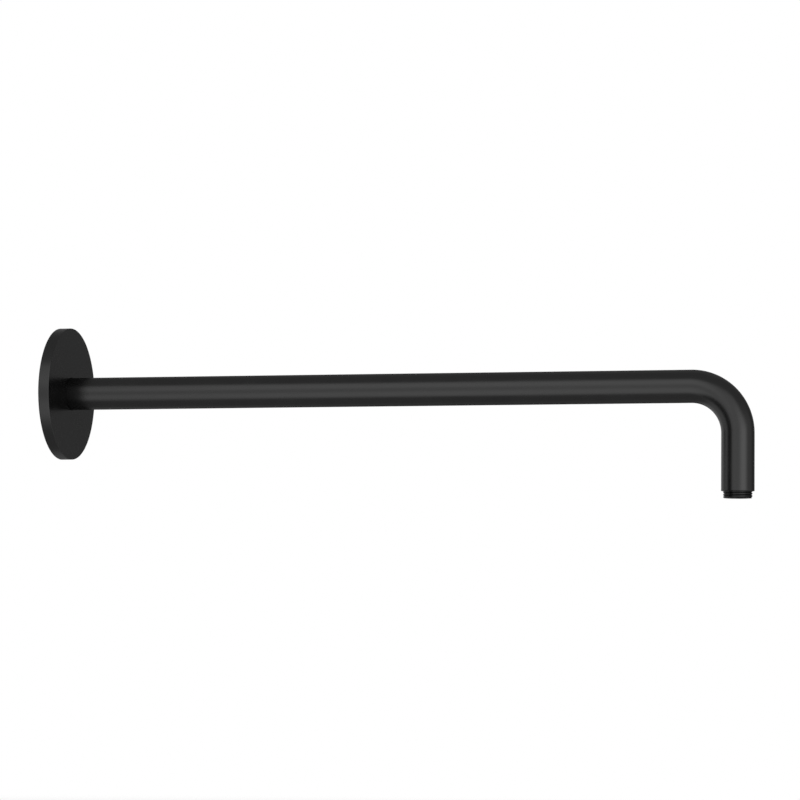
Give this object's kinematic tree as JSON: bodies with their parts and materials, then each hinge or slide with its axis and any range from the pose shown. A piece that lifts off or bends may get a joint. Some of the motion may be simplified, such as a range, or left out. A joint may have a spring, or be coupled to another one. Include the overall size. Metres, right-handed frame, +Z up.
{
  "type": "shower arm",
  "caption": "Wall-mounted round shower arm: a long tube with a right-angle bend down to a threaded outlet, and a hollow round wall flange that slides on it.",
  "frame": {"origin": "centre of the wall plane, which is the plane of the flange's back rim, on the arm's axis", "axes": "+X along the arm, away from the wall; +Z up, so that the outlet points along -Z"},
  "size_m": [0.542, 0.0984, 0.1299],
  "materials": {
    "satin_black": "satin black coat on brass",
    "seal_rubber": "matte black rubber"
  },
  "bodies": {
    "arm": {"arm_tube": "satin_black", "inlet_nipple": "satin_black", "outlet_nipple": "satin_black"},
    "flange": {"wall_flange": "satin_black", "flange_seal_ring": "seal_rubber"}
  },
  "joints": [
    {"name": "flange_slide", "type": "slide", "parent": "arm", "child": "flange", "axis": [1, 0, 0], "range_m": [0, 0.474]}
  ]
}
